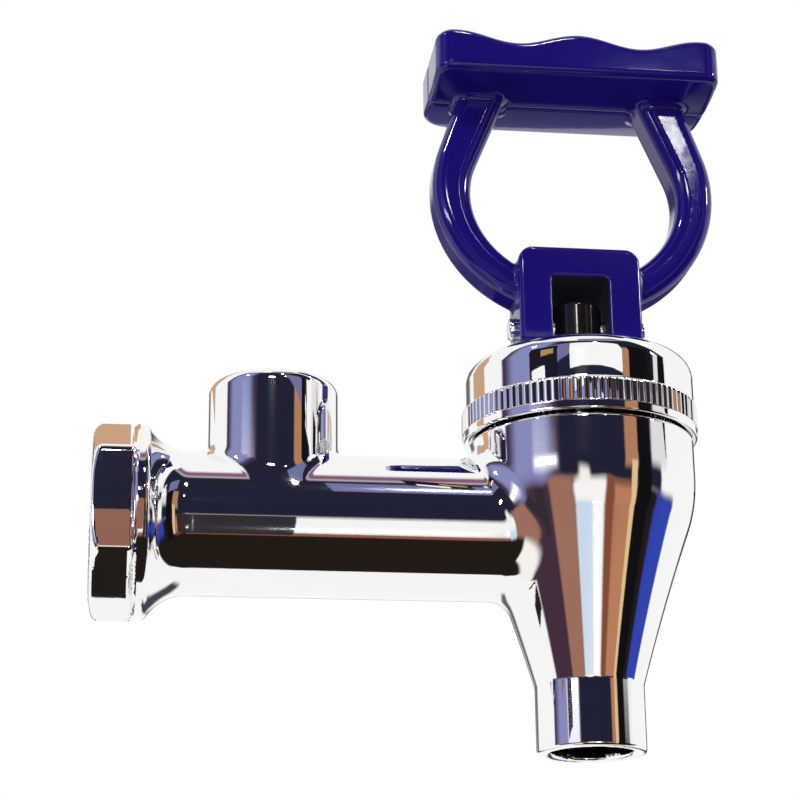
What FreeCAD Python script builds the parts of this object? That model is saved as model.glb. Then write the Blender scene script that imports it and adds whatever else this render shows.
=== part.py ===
import FreeCAD, Part
import math
import os

# Tap for a samovar or tea urn: a chromed brass body with a level pipe, a boss for a gauge glass,
# a screwed bonnet, and a moulded handle whose cam foot lifts a silicone cup off its seat.
# Lengths are millimetres. X runs along the pipe from the inlet to the spout, Z runs up the stem.
# The origin is on the pipe's axis where the inlet's full thread starts.

# Driving dimensions: pipe, inlet and gauge boss
stem_axis_x = 74.5
pipe_r = 11.0
water_bore_r = 7.5
hex_across_flats = 27.0
hex_length = 6.3
hex_edge_bevel = 1.0
flange_r = 14.8
flange_length = 2.0
flange_edge = 0.5
neck_fillet_r = 7.0
inlet_thread_r = 9.315
inlet_thread_length = 10.0
inlet_countersink = 1.0
inlet_runout = 1.8
boss_x = 26.3
boss_r = 10.0
boss_top_z = 22.4
boss_edge_r = 2.0
boss_foot_fillet = 1.0
gauge_thread_r = 5.72
gauge_thread_length = 12.0
gauge_countersink = 0.9
gauge_drill_r = 4.5

# Driving dimensions: barrel, seat and spout
barrel_r = 17.6
barrel_top_z = 14.0
barrel_edge = 0.5
shoulder_top_z = 8.0
shoulder_arc_r = 25.0
cone_angle_deg = 18.3
cone_waist = 0.25
collar_r = 8.3
collar_top_z = -24.2
outlet_z = -34.4
outlet_lip = 0.5
outlet_r = 6.1
junction_fillet = 2.2
bonnet_thread_r = 15.6
cup_ledge_z = 20.5
chamber_r = 13.9
chamber_straight_z = 1.0
chamber_floor_r = 11.0
chamber_floor_z = -6.0
seat_z = -4.5
seat_outer_r = 8.2
seat_edge = 0.4
bore_end_r = 9.0

# Driving dimensions: bonnet
lip_r = 18.3
lip_height = 1.4
lip_gap = 0.3
knurl_r = 18.5
knurl_height = 3.6
knurl_depth = 0.35
knurl_teeth = 100
knurl_bevel = 0.3
dome_r = 18.0
dome_corner_r = 7.5
crown_r = 70.0
crown_flat_r = 8.6
crown_z = 28.4
bonnet_roof = 2.5
bonnet_cavity_r = 12.5
bonnet_cavity_corner = 2.0

# Driving dimensions: stem, cup, spring and bush
stem_r = 4.1
stem_top_z = 37.2
stem_top_bevel = 0.8
stem_collar_r = 6.5
stem_collar_height = 1.8
button_r = 5.2
button_height = 2.4
button_edge = 0.6
button_neck_r = 3.6
cup_floor = 2.0
cup_grip = 1.4
cup_foot_r = 8.7
cup_foot_edge = 1.0
cup_wall = 1.3
cup_waist_z = 4.0
cup_top_r = 11.6
cup_flange_r = 15.4
cup_flange = 1.5
clamp_ring_height = 1.2
clamp_ring_hole_r = 12.2
washer_height = 0.8
washer_r = 7.0
spring_r = 6.0
spring_wire_r = 0.55
spring_turns = 6.5
bush_flange_r = 8.0
bush_flange = 0.85
bush_r = 5.5

# Driving dimensions: handle and its pin
pin_r = 1.75
pin_z = 33.2
pin_proud = 1.2
pin_bevel = 0.3
cam_rise_per_rad = 2.4
cam_turn_deg = 34.0
fork_half_width = 9.8
fork_half_depth = 5.0
fork_top_z = 45.8
fork_corner_r = 2.4
fork_edge_r = 0.6
slot_half_width = 4.6
slot_front_z = 41.0
slot_back_z = 38.0
slot_corner_r = 0.8
ring_half_depth = 4.0
ring_edge_r = 2.2
ring_centre_z = 56.7
ring_half_width = 23.0
ring_half_height = 21.65
ring_hole_centre_z = 55.5
ring_hole_half_width = 16.9
ring_hole_half_height = 14.8
arm_half_span_at_bar = 18.0
throat_half_span_at_bar = 10.0
bar_half_length = 23.2
bar_half_depth = 11.4
bar_front_corner_r = 2.5
bar_back_corner_r = 6.0
bar_sunk_arm = 1.0
bar_low_z = 72.3
bar_edge_z = 73.5
bar_top_z = 80.5
bump_pitch = 20.0
bump_depth = 1.9
bar_edge_r = 1.0

# Clearances
running = 0.05
fixed_fit = 0.01
seated = 0.1
thread_play = 0.1

# Heights worked out from the pieces they stand on
mouth_x = -inlet_countersink
lip_z = barrel_top_z + lip_gap
knurl_z = lip_z + lip_height
dome_z = knurl_z + knurl_height
cup_flange_top_z = cup_ledge_z + cup_flange
clamp_ring_top_z = cup_flange_top_z + clamp_ring_height
roof_z = crown_z - bonnet_roof
bush_top_z = crown_z + bush_flange
foot_z = bush_top_z + seated
cup_inside_z = seat_z + cup_floor
button_z = cup_inside_z + seated
button_top_z = button_z + button_height
grip_z = button_top_z + seated
collar_z = grip_z + cup_grip + seated
washer_z = collar_z + stem_collar_height
spring_z = washer_z + washer_height


def outline(steps, place):
    """Closed face through steps: a pair is the end of a line, four numbers are an arc's middle and end."""
    edges = []
    here = place(*steps[0])
    for step in steps[1:] + [steps[0]]:
        there = place(*step[-2:])
        if len(step) == 4:
            edges.append(Part.Arc(here, place(*step[:2]), there).toShape())
        elif not there.isEqual(here, 1e-7):
            edges.append(Part.LineSegment(here, there).toShape())
        here = there
    return Part.Face(Part.Wire(edges))


def turned_upright(steps, x=stem_axis_x):
    """Solid turned about an upright axis at x, from (radius, height) steps."""
    face = outline(steps, lambda r, z: FreeCAD.Vector(x + r, 0, z))
    return face.revolve(FreeCAD.Vector(x, 0, 0), FreeCAD.Vector(0, 0, 1), 360)


def turned_along_pipe(steps):
    """Solid turned about the pipe's axis, from (x, radius) steps."""
    face = outline(steps, lambda x, r: FreeCAD.Vector(x, 0, r))
    return face.revolve(FreeCAD.Vector(0, 0, 0), FreeCAD.Vector(1, 0, 0), 360)


def side_plate(steps, half_depth):
    """Plate in the handle's plane, from (distance from the stem, height) steps, centred on the stem."""
    face = outline(steps, lambda x, z: FreeCAD.Vector(stem_axis_x + x, -half_depth, z))
    return face.extrude(FreeCAD.Vector(0, 2 * half_depth, 0))


def edges_where(shape, wanted):
    """Edges whose sampled points all pass the test."""
    picked = []
    for edge in shape.Edges:
        points = edge.discretize(7)
        if all(wanted(point) for point in points):
            picked.append(edge)
    return picked


def barrel_outside():
    angle = math.radians(cone_angle_deg)
    cone_r = barrel_r - shoulder_arc_r * (1 - math.cos(angle))
    cone_z = shoulder_top_z - shoulder_arc_r * math.sin(angle)
    half_way_r = barrel_r - shoulder_arc_r * (1 - math.cos(angle / 2))
    half_way_z = shoulder_top_z - shoulder_arc_r * math.sin(angle / 2)
    waist_r = (cone_r + collar_r) / 2 - cone_waist
    waist_z = (cone_z + collar_top_z) / 2
    return turned_upright([
        (0, cup_ledge_z),
        (bonnet_thread_r, cup_ledge_z),
        (bonnet_thread_r, barrel_top_z),
        (barrel_r - barrel_edge, barrel_top_z),
        (barrel_r, barrel_top_z - barrel_edge),
        (barrel_r, shoulder_top_z),
        (half_way_r, half_way_z, cone_r, cone_z),
        (waist_r, waist_z, collar_r, collar_top_z),
        (collar_r, outlet_z + outlet_lip),
        (collar_r - outlet_lip, outlet_z),
        (0, outlet_z),
    ])


def pipe_outside():
    flange_x = mouth_x + hex_length
    flange_end_x = flange_x + flange_length
    drop = pipe_r + neck_fillet_r - flange_r
    reach = math.sqrt(neck_fillet_r ** 2 - drop ** 2)
    centre_x = flange_end_x + reach
    centre_r = pipe_r + neck_fillet_r
    middle = FreeCAD.Vector(-reach, -drop - neck_fillet_r, 0).normalize() * neck_fillet_r
    return turned_along_pipe([
        (flange_x - hex_length / 2, 0),
        (flange_x - hex_length / 2, hex_across_flats / 2 - flange_edge),
        (flange_x, hex_across_flats / 2 - flange_edge),
        (flange_x, flange_r - flange_edge),
        (flange_x + flange_edge, flange_r),
        (flange_end_x, flange_r),
        (centre_x + middle.x, centre_r + middle.y, centre_x, pipe_r),
        (stem_axis_x, pipe_r),
        (stem_axis_x, 0),
    ])


def inlet_hex():
    corner_r = hex_across_flats / math.sqrt(3)
    corners = []
    for k in range(7):
        angle = math.radians(60 * k)
        corners.append(FreeCAD.Vector(mouth_x, corner_r * math.sin(angle), corner_r * math.cos(angle)))
    prism = Part.Face(Part.makePolygon(corners)).extrude(FreeCAD.Vector(hex_length, 0, 0))
    bevel_r = corner_r - hex_edge_bevel * math.sqrt(3)
    blank = turned_along_pipe([
        (mouth_x, 0),
        (mouth_x, bevel_r),
        (mouth_x + hex_edge_bevel, corner_r),
        (mouth_x + hex_length, corner_r),
        (mouth_x + hex_length, 0),
    ])
    return prism.common(blank)


def water_way():
    """The bore, the gauge drilling, the chamber with its raised seat, and the outlet."""
    over = 1.0
    runout_x = inlet_thread_length + inlet_runout
    inlet = turned_along_pipe([
        (mouth_x, 0),
        (mouth_x, inlet_thread_r + inlet_countersink),
        (0, inlet_thread_r),
        (inlet_thread_length, inlet_thread_r),
        (runout_x, water_bore_r),
        (stem_axis_x - bore_end_r, water_bore_r),
        (stem_axis_x - bore_end_r, 0),
    ])
    thread_end_z = boss_top_z - gauge_countersink - gauge_thread_length
    gauge = turned_upright([
        (0, boss_top_z),
        (gauge_thread_r + gauge_countersink, boss_top_z),
        (gauge_thread_r, boss_top_z - gauge_countersink),
        (gauge_thread_r, thread_end_z),
        (gauge_drill_r, thread_end_z - (gauge_thread_r - gauge_drill_r)),
        (gauge_drill_r, 0),
        (0, 0),
    ], boss_x)
    chamber = turned_upright([
        (0, cup_ledge_z + over),
        (chamber_r, cup_ledge_z + over),
        (chamber_r, chamber_straight_z),
        (chamber_floor_r, chamber_floor_z),
        (seat_outer_r, chamber_floor_z),
        (seat_outer_r, seat_z - seat_edge),
        (seat_outer_r - seat_edge, seat_z),
        (outlet_r + seat_edge, seat_z),
        (outlet_r, seat_z - seat_edge),
        (outlet_r, outlet_z + outlet_lip),
        (outlet_r + outlet_lip, outlet_z),
        (outlet_r + outlet_lip, outlet_z - over),
        (0, outlet_z - over),
    ])
    return [inlet, gauge, chamber]


def make_valve_body():
    pipe = pipe_outside()
    boss = Part.makeCylinder(boss_r, boss_top_z, FreeCAD.Vector(boss_x, 0, 0))
    boss_rim = edges_where(boss, lambda p: abs(p.z - boss_top_z) < 1e-6)
    boss = boss.makeFillet(boss_edge_r, boss_rim)
    pipe_and_boss = pipe.fuse(boss)
    on_boss = edges_where(pipe_and_boss, lambda p: abs(math.hypot(p.x - boss_x, p.y) - boss_r) < 1e-3
                          and abs(math.hypot(p.y, p.z) - pipe_r) < 1e-3)
    pipe_and_boss = pipe_and_boss.makeFillet(boss_foot_fillet, on_boss)
    casting = pipe_and_boss.fuse(barrel_outside()).removeSplitter()
    at_barrel = edges_where(casting, lambda p: abs(math.hypot(p.y, p.z) - pipe_r) < 1e-3
                            and barrel_r / 2 < stem_axis_x - p.x < barrel_r)
    casting = casting.makeFillet(junction_fillet, at_barrel)
    casting = casting.fuse(inlet_hex())
    for hollow in water_way():
        casting = casting.cut(hollow)
    return casting


def knurled_band():
    """Band of straight teeth, bevelled at both rims so the teeth run out."""
    points = []
    for k in range(2 * knurl_teeth + 1):
        angle = math.pi * k / knurl_teeth
        r = knurl_r if k % 2 == 0 else knurl_r - knurl_depth
        points.append(FreeCAD.Vector(stem_axis_x + r * math.cos(angle), r * math.sin(angle), knurl_z))
    teeth = Part.Face(Part.makePolygon(points)).extrude(FreeCAD.Vector(0, 0, knurl_height))
    inside_r = (bonnet_thread_r + dome_r) / 2
    blank = turned_upright([
        (inside_r, knurl_z),
        (knurl_r - knurl_bevel, knurl_z),
        (knurl_r, knurl_z + knurl_bevel),
        (knurl_r, dome_z - knurl_bevel),
        (knurl_r - knurl_bevel, dome_z),
        (inside_r, dome_z),
    ])
    return teeth.common(blank)


def make_bonnet():
    crown_centre_z = crown_z - math.sqrt(crown_r ** 2 - crown_flat_r ** 2)
    corner_x = dome_r - dome_corner_r
    corner_rise = math.sqrt((crown_r - dome_corner_r) ** 2 - corner_x ** 2)
    corner_z = crown_centre_z + corner_rise
    tilt = math.atan2(corner_x, corner_rise)
    half_way = (tilt + math.pi / 2) / 2
    crown_half = (tilt + math.asin(crown_flat_r / crown_r)) / 2
    thread_hole_r = bonnet_thread_r + thread_play
    shell = turned_upright([
        (bush_r, crown_z),
        (crown_flat_r, crown_z),
        (crown_r * math.sin(crown_half), crown_centre_z + crown_r * math.cos(crown_half),
         crown_r * math.sin(tilt), crown_centre_z + crown_r * math.cos(tilt)),
        (corner_x + dome_corner_r * math.sin(half_way), corner_z + dome_corner_r * math.cos(half_way),
         dome_r, corner_z),
        (dome_r, dome_z),
        (knurl_r - knurl_depth - knurl_bevel, dome_z),
        (knurl_r - knurl_depth - knurl_bevel, knurl_z),
        (lip_r, knurl_z),
        (lip_r, lip_z),
        (thread_hole_r, lip_z),
        (thread_hole_r, clamp_ring_top_z),
        (bonnet_cavity_r, clamp_ring_top_z),
        (bonnet_cavity_r, roof_z - bonnet_cavity_corner),
        (bonnet_cavity_r - bonnet_cavity_corner, roof_z),
        (bush_r, roof_z),
    ])
    return shell.fuse(knurled_band())


def make_guide_bush():
    edge = bush_flange / 3
    return turned_upright([
        (stem_r + running, bush_top_z),
        (bush_flange_r - edge, bush_top_z),
        (bush_flange_r, bush_top_z - edge),
        (bush_flange_r, crown_z),
        (bush_r - running, crown_z),
        (bush_r - running, roof_z),
        (stem_r + running, roof_z),
    ])


def make_stem():
    shaft = turned_upright([
        (0, button_z),
        (button_r - button_edge, button_z),
        (button_r, button_z + button_edge),
        (button_r, button_top_z),
        (button_neck_r, button_top_z),
        (button_neck_r, collar_z),
        (stem_collar_r, collar_z),
        (stem_collar_r, washer_z),
        (stem_r, washer_z),
        (stem_r, stem_top_z - stem_top_bevel),
        (stem_r - stem_top_bevel, stem_top_z),
        (0, stem_top_z),
    ])
    hole_start = FreeCAD.Vector(stem_axis_x - 2 * stem_r, 0, pin_z)
    cross_hole = Part.makeCylinder(pin_r + running, 4 * stem_r, hole_start, FreeCAD.Vector(1, 0, 0))
    return shaft.cut(cross_hole)


def make_seat_cup():
    inside_r = cup_foot_r - cup_wall
    inside_top_r = cup_top_r - cup_wall
    turn = cup_flange
    return turned_upright([
        (0, seat_z),
        (cup_foot_r - cup_foot_edge, seat_z),
        (cup_foot_r, seat_z + cup_foot_edge),
        (cup_foot_r, cup_waist_z),
        (cup_top_r, cup_ledge_z - turn),
        (cup_top_r + turn, cup_ledge_z),
        (cup_flange_r, cup_ledge_z),
        (cup_flange_r, cup_flange_top_z),
        (cup_top_r + turn - cup_wall, cup_flange_top_z),
        (inside_top_r, cup_ledge_z),
        (inside_r, cup_waist_z),
        (inside_r, grip_z + cup_grip),
        (button_neck_r + seated, grip_z + cup_grip),
        (button_neck_r + seated, grip_z),
        (button_r + seated, grip_z),
        (button_r + seated, cup_inside_z),
        (0, cup_inside_z),
    ])


def flat_ring(low_z, height, hole_r, outer_r):
    return turned_upright([
        (hole_r, low_z),
        (outer_r, low_z),
        (outer_r, low_z + height),
        (hole_r, low_z + height),
    ])


def make_spring():
    """Round wire on a helix, with both ends ground flat on their seats."""
    rise = roof_z - spring_z
    helix = Part.makeHelix(rise / spring_turns, rise, spring_r)
    start = FreeCAD.Vector(spring_r, 0, 0)
    along = helix.Edges[0].tangentAt(helix.Edges[0].FirstParameter)
    section = Part.Wire(Part.makeCircle(spring_wire_r, start, along))
    coil = Part.Wire(helix.Edges).makePipeShell([section], True, True)
    coil.translate(FreeCAD.Vector(stem_axis_x, 0, spring_z))
    between_seats = Part.makeCylinder(2 * spring_r, rise, FreeCAD.Vector(stem_axis_x, 0, spring_z))
    return coil.common(between_seats)


def cam_foot_side():
    """Steps of the foot's outline seen along the pin, (depth, height) from left face to right face.

    Turned by t, the foot's lowest line lies cam_rise_per_rad times t further below the pin,
    so past a flat as wide as that rise on each side it is the involute of a circle.
    """
    low = pin_z - foot_z
    side = []
    count = 6
    for k in range(count + 1):
        t = math.radians(cam_turn_deg) * k / count
        reach = low + cam_rise_per_rad * t
        y = reach * math.sin(t) + cam_rise_per_rad * math.cos(t)
        z = reach * math.cos(t) - cam_rise_per_rad * math.sin(t)
        side.append((y, pin_z - z))
    return side


def fork_block():
    side = cam_foot_side()

    def at(y, z):
        return FreeCAD.Vector(stem_axis_x - fork_half_width, y, z)

    right = Part.BSplineCurve()
    right.interpolate([at(y, z) for y, z in side])
    left = Part.BSplineCurve()
    left.interpolate([at(-y, z) for y, z in side])
    toe_y, toe_z = side[-1]
    upright = [at(toe_y, toe_z), at(fork_half_depth, toe_z + 2 * (fork_half_depth - toe_y)),
               at(fork_half_depth, fork_top_z), at(-fork_half_depth, fork_top_z),
               at(-fork_half_depth, toe_z + 2 * (fork_half_depth - toe_y)), at(-toe_y, toe_z)]
    edges = [right.toShape(), left.toShape(),
             Part.LineSegment(at(-side[0][0], side[0][1]), at(*side[0])).toShape()]
    for start, end in zip(upright[:-1], upright[1:]):
        edges.append(Part.LineSegment(start, end).toShape())
    face = Part.Face(Part.Wire(Part.__sortEdges__(edges)))
    block = face.extrude(FreeCAD.Vector(2 * fork_half_width, 0, 0))
    top_corners = edges_where(block, lambda p: abs(p.z - fork_top_z) < 1e-6
                              and abs(abs(p.x - stem_axis_x) - fork_half_width) < 1e-6)
    block = block.makeFillet(fork_corner_r, top_corners)
    rims = edges_where(block, lambda p: abs(abs(p.y) - fork_half_depth) < 1e-6
                       and p.z > toe_z + fork_edge_r)
    return block.makeFillet(fork_edge_r, rims)


def fork_slot():
    """Room for the stem, with a roof that slopes down to the back so that no light shows over the stem."""
    slope = (slot_front_z - slot_back_z) / (2 * fork_half_depth)
    reach = 2 * fork_half_depth
    past_face = slope * (reach - fork_half_depth)
    corners = [(-reach, 0), (reach, 0), (reach, slot_back_z - past_face), (-reach, slot_front_z + past_face)]
    side = outline(corners, lambda y, z: FreeCAD.Vector(stem_axis_x - slot_half_width, y, z))
    slot = side.extrude(FreeCAD.Vector(2 * slot_half_width, 0, 0))
    middle_z = (slot_front_z + slot_back_z) / 2
    roof = edges_where(slot, lambda p: abs(p.z - middle_z + slope * p.y) < 1e-6
                       and abs(abs(p.x - stem_axis_x) - slot_half_width) < 1e-6)
    return slot.makeFillet(slot_corner_r, roof)


def ellipse_plate(half_width, half_height, centre_z, half_depth):
    centre = FreeCAD.Vector(stem_axis_x, -half_depth, centre_z)
    curve = Part.Ellipse(centre + FreeCAD.Vector(half_width, 0, 0),
                         centre + FreeCAD.Vector(0, 0, half_height), centre)
    return Part.Face(Part.Wire(curve.toShape())).extrude(FreeCAD.Vector(0, 2 * half_depth, 0))


def touching_point(half_width, half_height, centre_z, x, z):
    """Point where a straight line from (x, z), above the ellipse, touches its right-hand side."""
    across, up = x / half_width, (z - centre_z) / half_height
    angle = math.atan2(up, across) - math.acos(1 / math.hypot(across, up))
    return half_width * math.cos(angle), centre_z + half_height * math.sin(angle)


def ellipse_to_bar(half_width, half_height, centre_z, half_span_at_bar, half_depth):
    """Plate with an ellipse below and two straight sides that leave it smoothly and run into the bar."""
    into_bar_z = bar_edge_z + bar_sunk_arm
    x, z = touching_point(half_width, half_height, centre_z, half_span_at_bar, into_bar_z)
    sides = side_plate([(-x, z), (x, z), (half_span_at_bar, into_bar_z), (-half_span_at_bar, into_bar_z)],
                       half_depth)
    return ellipse_plate(half_width, half_height, centre_z, half_depth).fuse(sides)


def grip_ring():
    """Loop for the fingers: an oval strap whose arms run up into the bar."""
    into_bar_z = bar_edge_z + bar_sunk_arm
    outside = ellipse_to_bar(ring_half_width, ring_half_height, ring_centre_z, arm_half_span_at_bar,
                             ring_half_depth)
    hole = ellipse_to_bar(ring_hole_half_width, ring_hole_half_height, ring_hole_centre_z,
                          throat_half_span_at_bar, 2 * ring_half_depth)
    above = side_plate([(-2 * ring_half_width, into_bar_z), (2 * ring_half_width, into_bar_z),
                        (2 * ring_half_width, 2 * into_bar_z), (-2 * ring_half_width, 2 * into_bar_z)],
                       2 * ring_half_depth)
    strap = outside.cut(hole).cut(above).removeSplitter()
    faces_of_strap = edges_where(strap, lambda p: abs(abs(p.y) - ring_half_depth) < 1e-6
                                 and p.z < into_bar_z - 1e-3)
    return strap.makeFillet(ring_edge_r, faces_of_strap)


def push_bar():
    """Palm bar: round-cornered in plan, bowed underneath, with finger waves across its top."""
    front_x = bar_half_length - bar_front_corner_r
    front_y = bar_half_depth - bar_front_corner_r
    front_s = bar_front_corner_r * math.sqrt(0.5)
    back_x = bar_half_length - bar_back_corner_r
    back_y = bar_half_depth - bar_back_corner_r
    back_s = bar_back_corner_r * math.sqrt(0.5)
    plan = outline([
        (-front_x, -bar_half_depth), (front_x, -bar_half_depth),
        (front_x + front_s, -front_y - front_s, bar_half_length, -front_y), (bar_half_length, back_y),
        (back_x + back_s, back_y + back_s, back_x, bar_half_depth), (-back_x, bar_half_depth),
        (-back_x - back_s, back_y + back_s, -bar_half_length, back_y), (-bar_half_length, -front_y),
        (-front_x - front_s, -front_y - front_s, -front_x, -bar_half_depth),
    ], lambda u, v: FreeCAD.Vector(stem_axis_x + u, v, bar_low_z - 1))
    blank = plan.extrude(FreeCAD.Vector(0, 0, 2 * (bar_top_z - bar_low_z)))
    middle_z = bar_top_z - bump_depth / 2
    half = bump_pitch / 2
    waves = [(-2.5 * half, bar_low_z - 2), (2.5 * half, bar_low_z - 2), (2.5 * half, middle_z)]
    for k in range(5):
        crest_z = bar_top_z if k % 2 == 0 else bar_top_z - bump_depth
        waves.append(((2 - k) * half, crest_z, (1.5 - k) * half, middle_z))
    bar = blank.common(side_plate(waves, 2 * bar_half_depth))
    bow = outline([(-bar_half_depth, bar_low_z - 4), (bar_half_depth, bar_low_z - 4),
                   (bar_half_depth, bar_edge_z), (0, bar_low_z, -bar_half_depth, bar_edge_z)],
                  lambda v, z: FreeCAD.Vector(stem_axis_x - 2 * bar_half_length, v, z))
    bar = bar.cut(bow.extrude(FreeCAD.Vector(4 * bar_half_length, 0, 0)))
    waist_z = (bar_edge_z + bar_top_z) / 2
    rims = [edge for edge in bar.Edges
            if not (edge.BoundBox.ZMin < waist_z < edge.BoundBox.ZMax)
            and not edge.BoundBox.YLength > 2 * bar_half_depth - 1e-3]
    return bar.makeFillet(bar_edge_r, rims)


def make_handle():
    handle = fork_block().fuse(grip_ring()).fuse(push_bar()).cut(fork_slot())
    pin_hole = Part.makeCylinder(pin_r + fixed_fit, 4 * fork_half_width,
                                 FreeCAD.Vector(stem_axis_x - 2 * fork_half_width, 0, pin_z),
                                 FreeCAD.Vector(1, 0, 0))
    return handle.cut(pin_hole)


def make_handle_pin():
    half = fork_half_width + pin_proud
    steps = [(-half, 0), (-half, pin_r - pin_bevel), (pin_bevel - half, pin_r),
             (half - pin_bevel, pin_r), (half, pin_r - pin_bevel), (half, 0)]
    pin = turned_along_pipe(steps)
    pin.translate(FreeCAD.Vector(stem_axis_x, 0, pin_z))
    return pin


def main():
    os.makedirs("parts", exist_ok=True)
    pieces = {
        "valve_body": make_valve_body(),
        "bonnet": make_bonnet(),
        "guide_bush": make_guide_bush(),
        "clamp_ring": flat_ring(cup_flange_top_z, clamp_ring_height, clamp_ring_hole_r, cup_flange_r),
        "seat_cup": make_seat_cup(),
        "stem": make_stem(),
        "spring_washer": flat_ring(washer_z, washer_height, stem_r + running, washer_r),
        "spring": make_spring(),
        "handle": make_handle(),
        "handle_pin": make_handle_pin(),
    }
    for name, shape in pieces.items():
        if shape.ShapeType == "Compound" and len(shape.Solids) == 1:
            shape = shape.Solids[0]
        shape.exportStep(f"parts/{name}.step")
        box = shape.BoundBox
        print(f"{name}: {len(shape.Solids)} solid, valid {shape.isValid()}, {shape.Volume:.1f} mm3, "
              f"x {box.XMin:.2f} {box.XMax:.2f}, y {box.YMin:.2f} {box.YMax:.2f}, "
              f"z {box.ZMin:.2f} {box.ZMax:.2f}")


main()
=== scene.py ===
# %% [markdown]
# # Tap for a samovar
#
# A chromed brass tap with a blue moulded handle, seen from below as it hangs on an urn. The solids that
# carry and move it come from the frame; this file gives every piece its finished surface. It works in
# millimetres, like a drawing, and turns them into metres only where a mesh is made.

# %% Start
import math

import bpy
import numpy as np
from mathutils import Matrix, Vector


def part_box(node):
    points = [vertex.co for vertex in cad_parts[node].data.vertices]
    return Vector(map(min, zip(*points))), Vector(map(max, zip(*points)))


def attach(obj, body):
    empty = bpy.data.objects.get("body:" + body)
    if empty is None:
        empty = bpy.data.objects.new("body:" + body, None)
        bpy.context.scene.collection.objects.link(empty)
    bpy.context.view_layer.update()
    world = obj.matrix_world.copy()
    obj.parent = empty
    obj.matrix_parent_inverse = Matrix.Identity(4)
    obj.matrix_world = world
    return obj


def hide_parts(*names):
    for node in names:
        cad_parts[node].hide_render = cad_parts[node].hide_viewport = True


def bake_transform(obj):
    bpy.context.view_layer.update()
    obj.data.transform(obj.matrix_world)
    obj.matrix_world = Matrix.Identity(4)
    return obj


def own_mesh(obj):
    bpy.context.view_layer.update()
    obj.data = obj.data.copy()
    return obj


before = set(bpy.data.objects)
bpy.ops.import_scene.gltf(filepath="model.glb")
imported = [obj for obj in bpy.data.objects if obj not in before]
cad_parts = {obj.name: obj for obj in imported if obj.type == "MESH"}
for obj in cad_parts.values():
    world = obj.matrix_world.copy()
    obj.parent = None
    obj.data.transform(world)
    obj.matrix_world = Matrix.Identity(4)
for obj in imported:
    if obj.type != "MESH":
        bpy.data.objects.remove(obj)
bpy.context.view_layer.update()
METRES = 0.001
scene = bpy.context.scene
print("solids in the frame:", sorted(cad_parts))


# %% [markdown]
# ## Where things are
#
# The frame already knows where each solid lies, so places such as the stem's axis or the top of the
# bonnet are read from its boxes instead of being typed again. Only what a box can't tell, such as the
# radius of a rounded edge or how far the handle tips, is written here.

# %% Places read from the frame
def low_and_high(node):
    """Lowest and highest corner of a solid, in millimetres."""
    low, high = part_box(node)
    return np.array(low) / METRES, np.array(high) / METRES


bonnet_low, bonnet_high = low_and_high("bonnet")
body_low, body_high = low_and_high("valve_body")
handle_low, handle_high = low_and_high("handle")
stem_low, stem_high = low_and_high("stem")
cup_low, cup_high = low_and_high("seat_cup")
ring_low, ring_high = low_and_high("clamp_ring")
washer_low, washer_high = low_and_high("spring_washer")
spring_low, spring_high = low_and_high("spring")
bush_low, bush_high = low_and_high("guide_bush")
pin_low, pin_high = low_and_high("handle_pin")
AXIS_X = (stem_low[0] + stem_high[0]) / 2
PIN_Z = (pin_low[2] + pin_high[2]) / 2
TILT_LIMIT = math.radians(34)
print(f"stem axis at {AXIS_X:.2f} mm, pin at {PIN_Z:.2f} mm")


# %% [markdown]
# ## From arrays to a mesh
#
# Blender takes a mesh fastest as whole arrays: `foreach_set` copies every point in one go, where a loop
# over vertices would take minutes. The signed volume says at once if the faces point inwards, because it
# is then negative, and reversing each face puts that right.

# %% Mesh from arrays
def signed_volume(points, faces):
    """Sum over the faces of the volume between each face's triangles and the origin."""
    total = 0.0
    for k in range(1, faces.shape[1] - 1):
        a, b, c = points[faces[:, 0]], points[faces[:, k]], points[faces[:, k + 1]]
        total += np.einsum("ij,ij->i", a, np.cross(b, c)).sum() / 6
    return total


def make_piece(name, points, quads, triangles=None, normals=None):
    """Closed smooth mesh from points in millimetres, with its faces turned outwards."""
    if triangles is None:
        triangles = np.zeros((0, 3), int)
    volume = signed_volume(points, quads) + signed_volume(points, triangles)
    if volume < 0:
        quads, triangles = quads[:, ::-1], triangles[:, ::-1]
    corners = np.concatenate([quads.ravel(), triangles.ravel()]).astype(np.int32)
    starts = np.concatenate([4 * np.arange(len(quads)),
                             4 * len(quads) + 3 * np.arange(len(triangles))]).astype(np.int32)
    mesh = bpy.data.meshes.new(name)
    mesh.vertices.add(len(points))
    mesh.vertices.foreach_set("co", (points * METRES).astype(np.float32).ravel())
    mesh.loops.add(len(corners))
    mesh.loops.foreach_set("vertex_index", corners)
    mesh.polygons.add(len(starts))
    mesh.polygons.foreach_set("loop_start", starts)
    mesh.update(calc_edges=True)
    mesh.polygons.foreach_set("use_smooth", np.ones(len(starts), bool))
    mesh.validate()
    if normals is not None:
        mesh.normals_split_custom_set_from_vertices(normals)
    piece = bpy.data.objects.new(name, mesh)
    scene.collection.objects.link(piece)
    print(f"{name}: {2 * len(quads) + len(triangles)} triangles, {abs(volume):.0f} cubic mm")
    return piece


# %% [markdown]
# ## Skin over a grid
#
# Most pieces of a tap are turned on a lathe, so their surface is a function of two parameters: how far
# along the outline, and how far round the axis. The grid of points closes round the axis. Along the
# outline it either closes too, as on a ring, or each end is shut by a fan of triangles.

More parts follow.
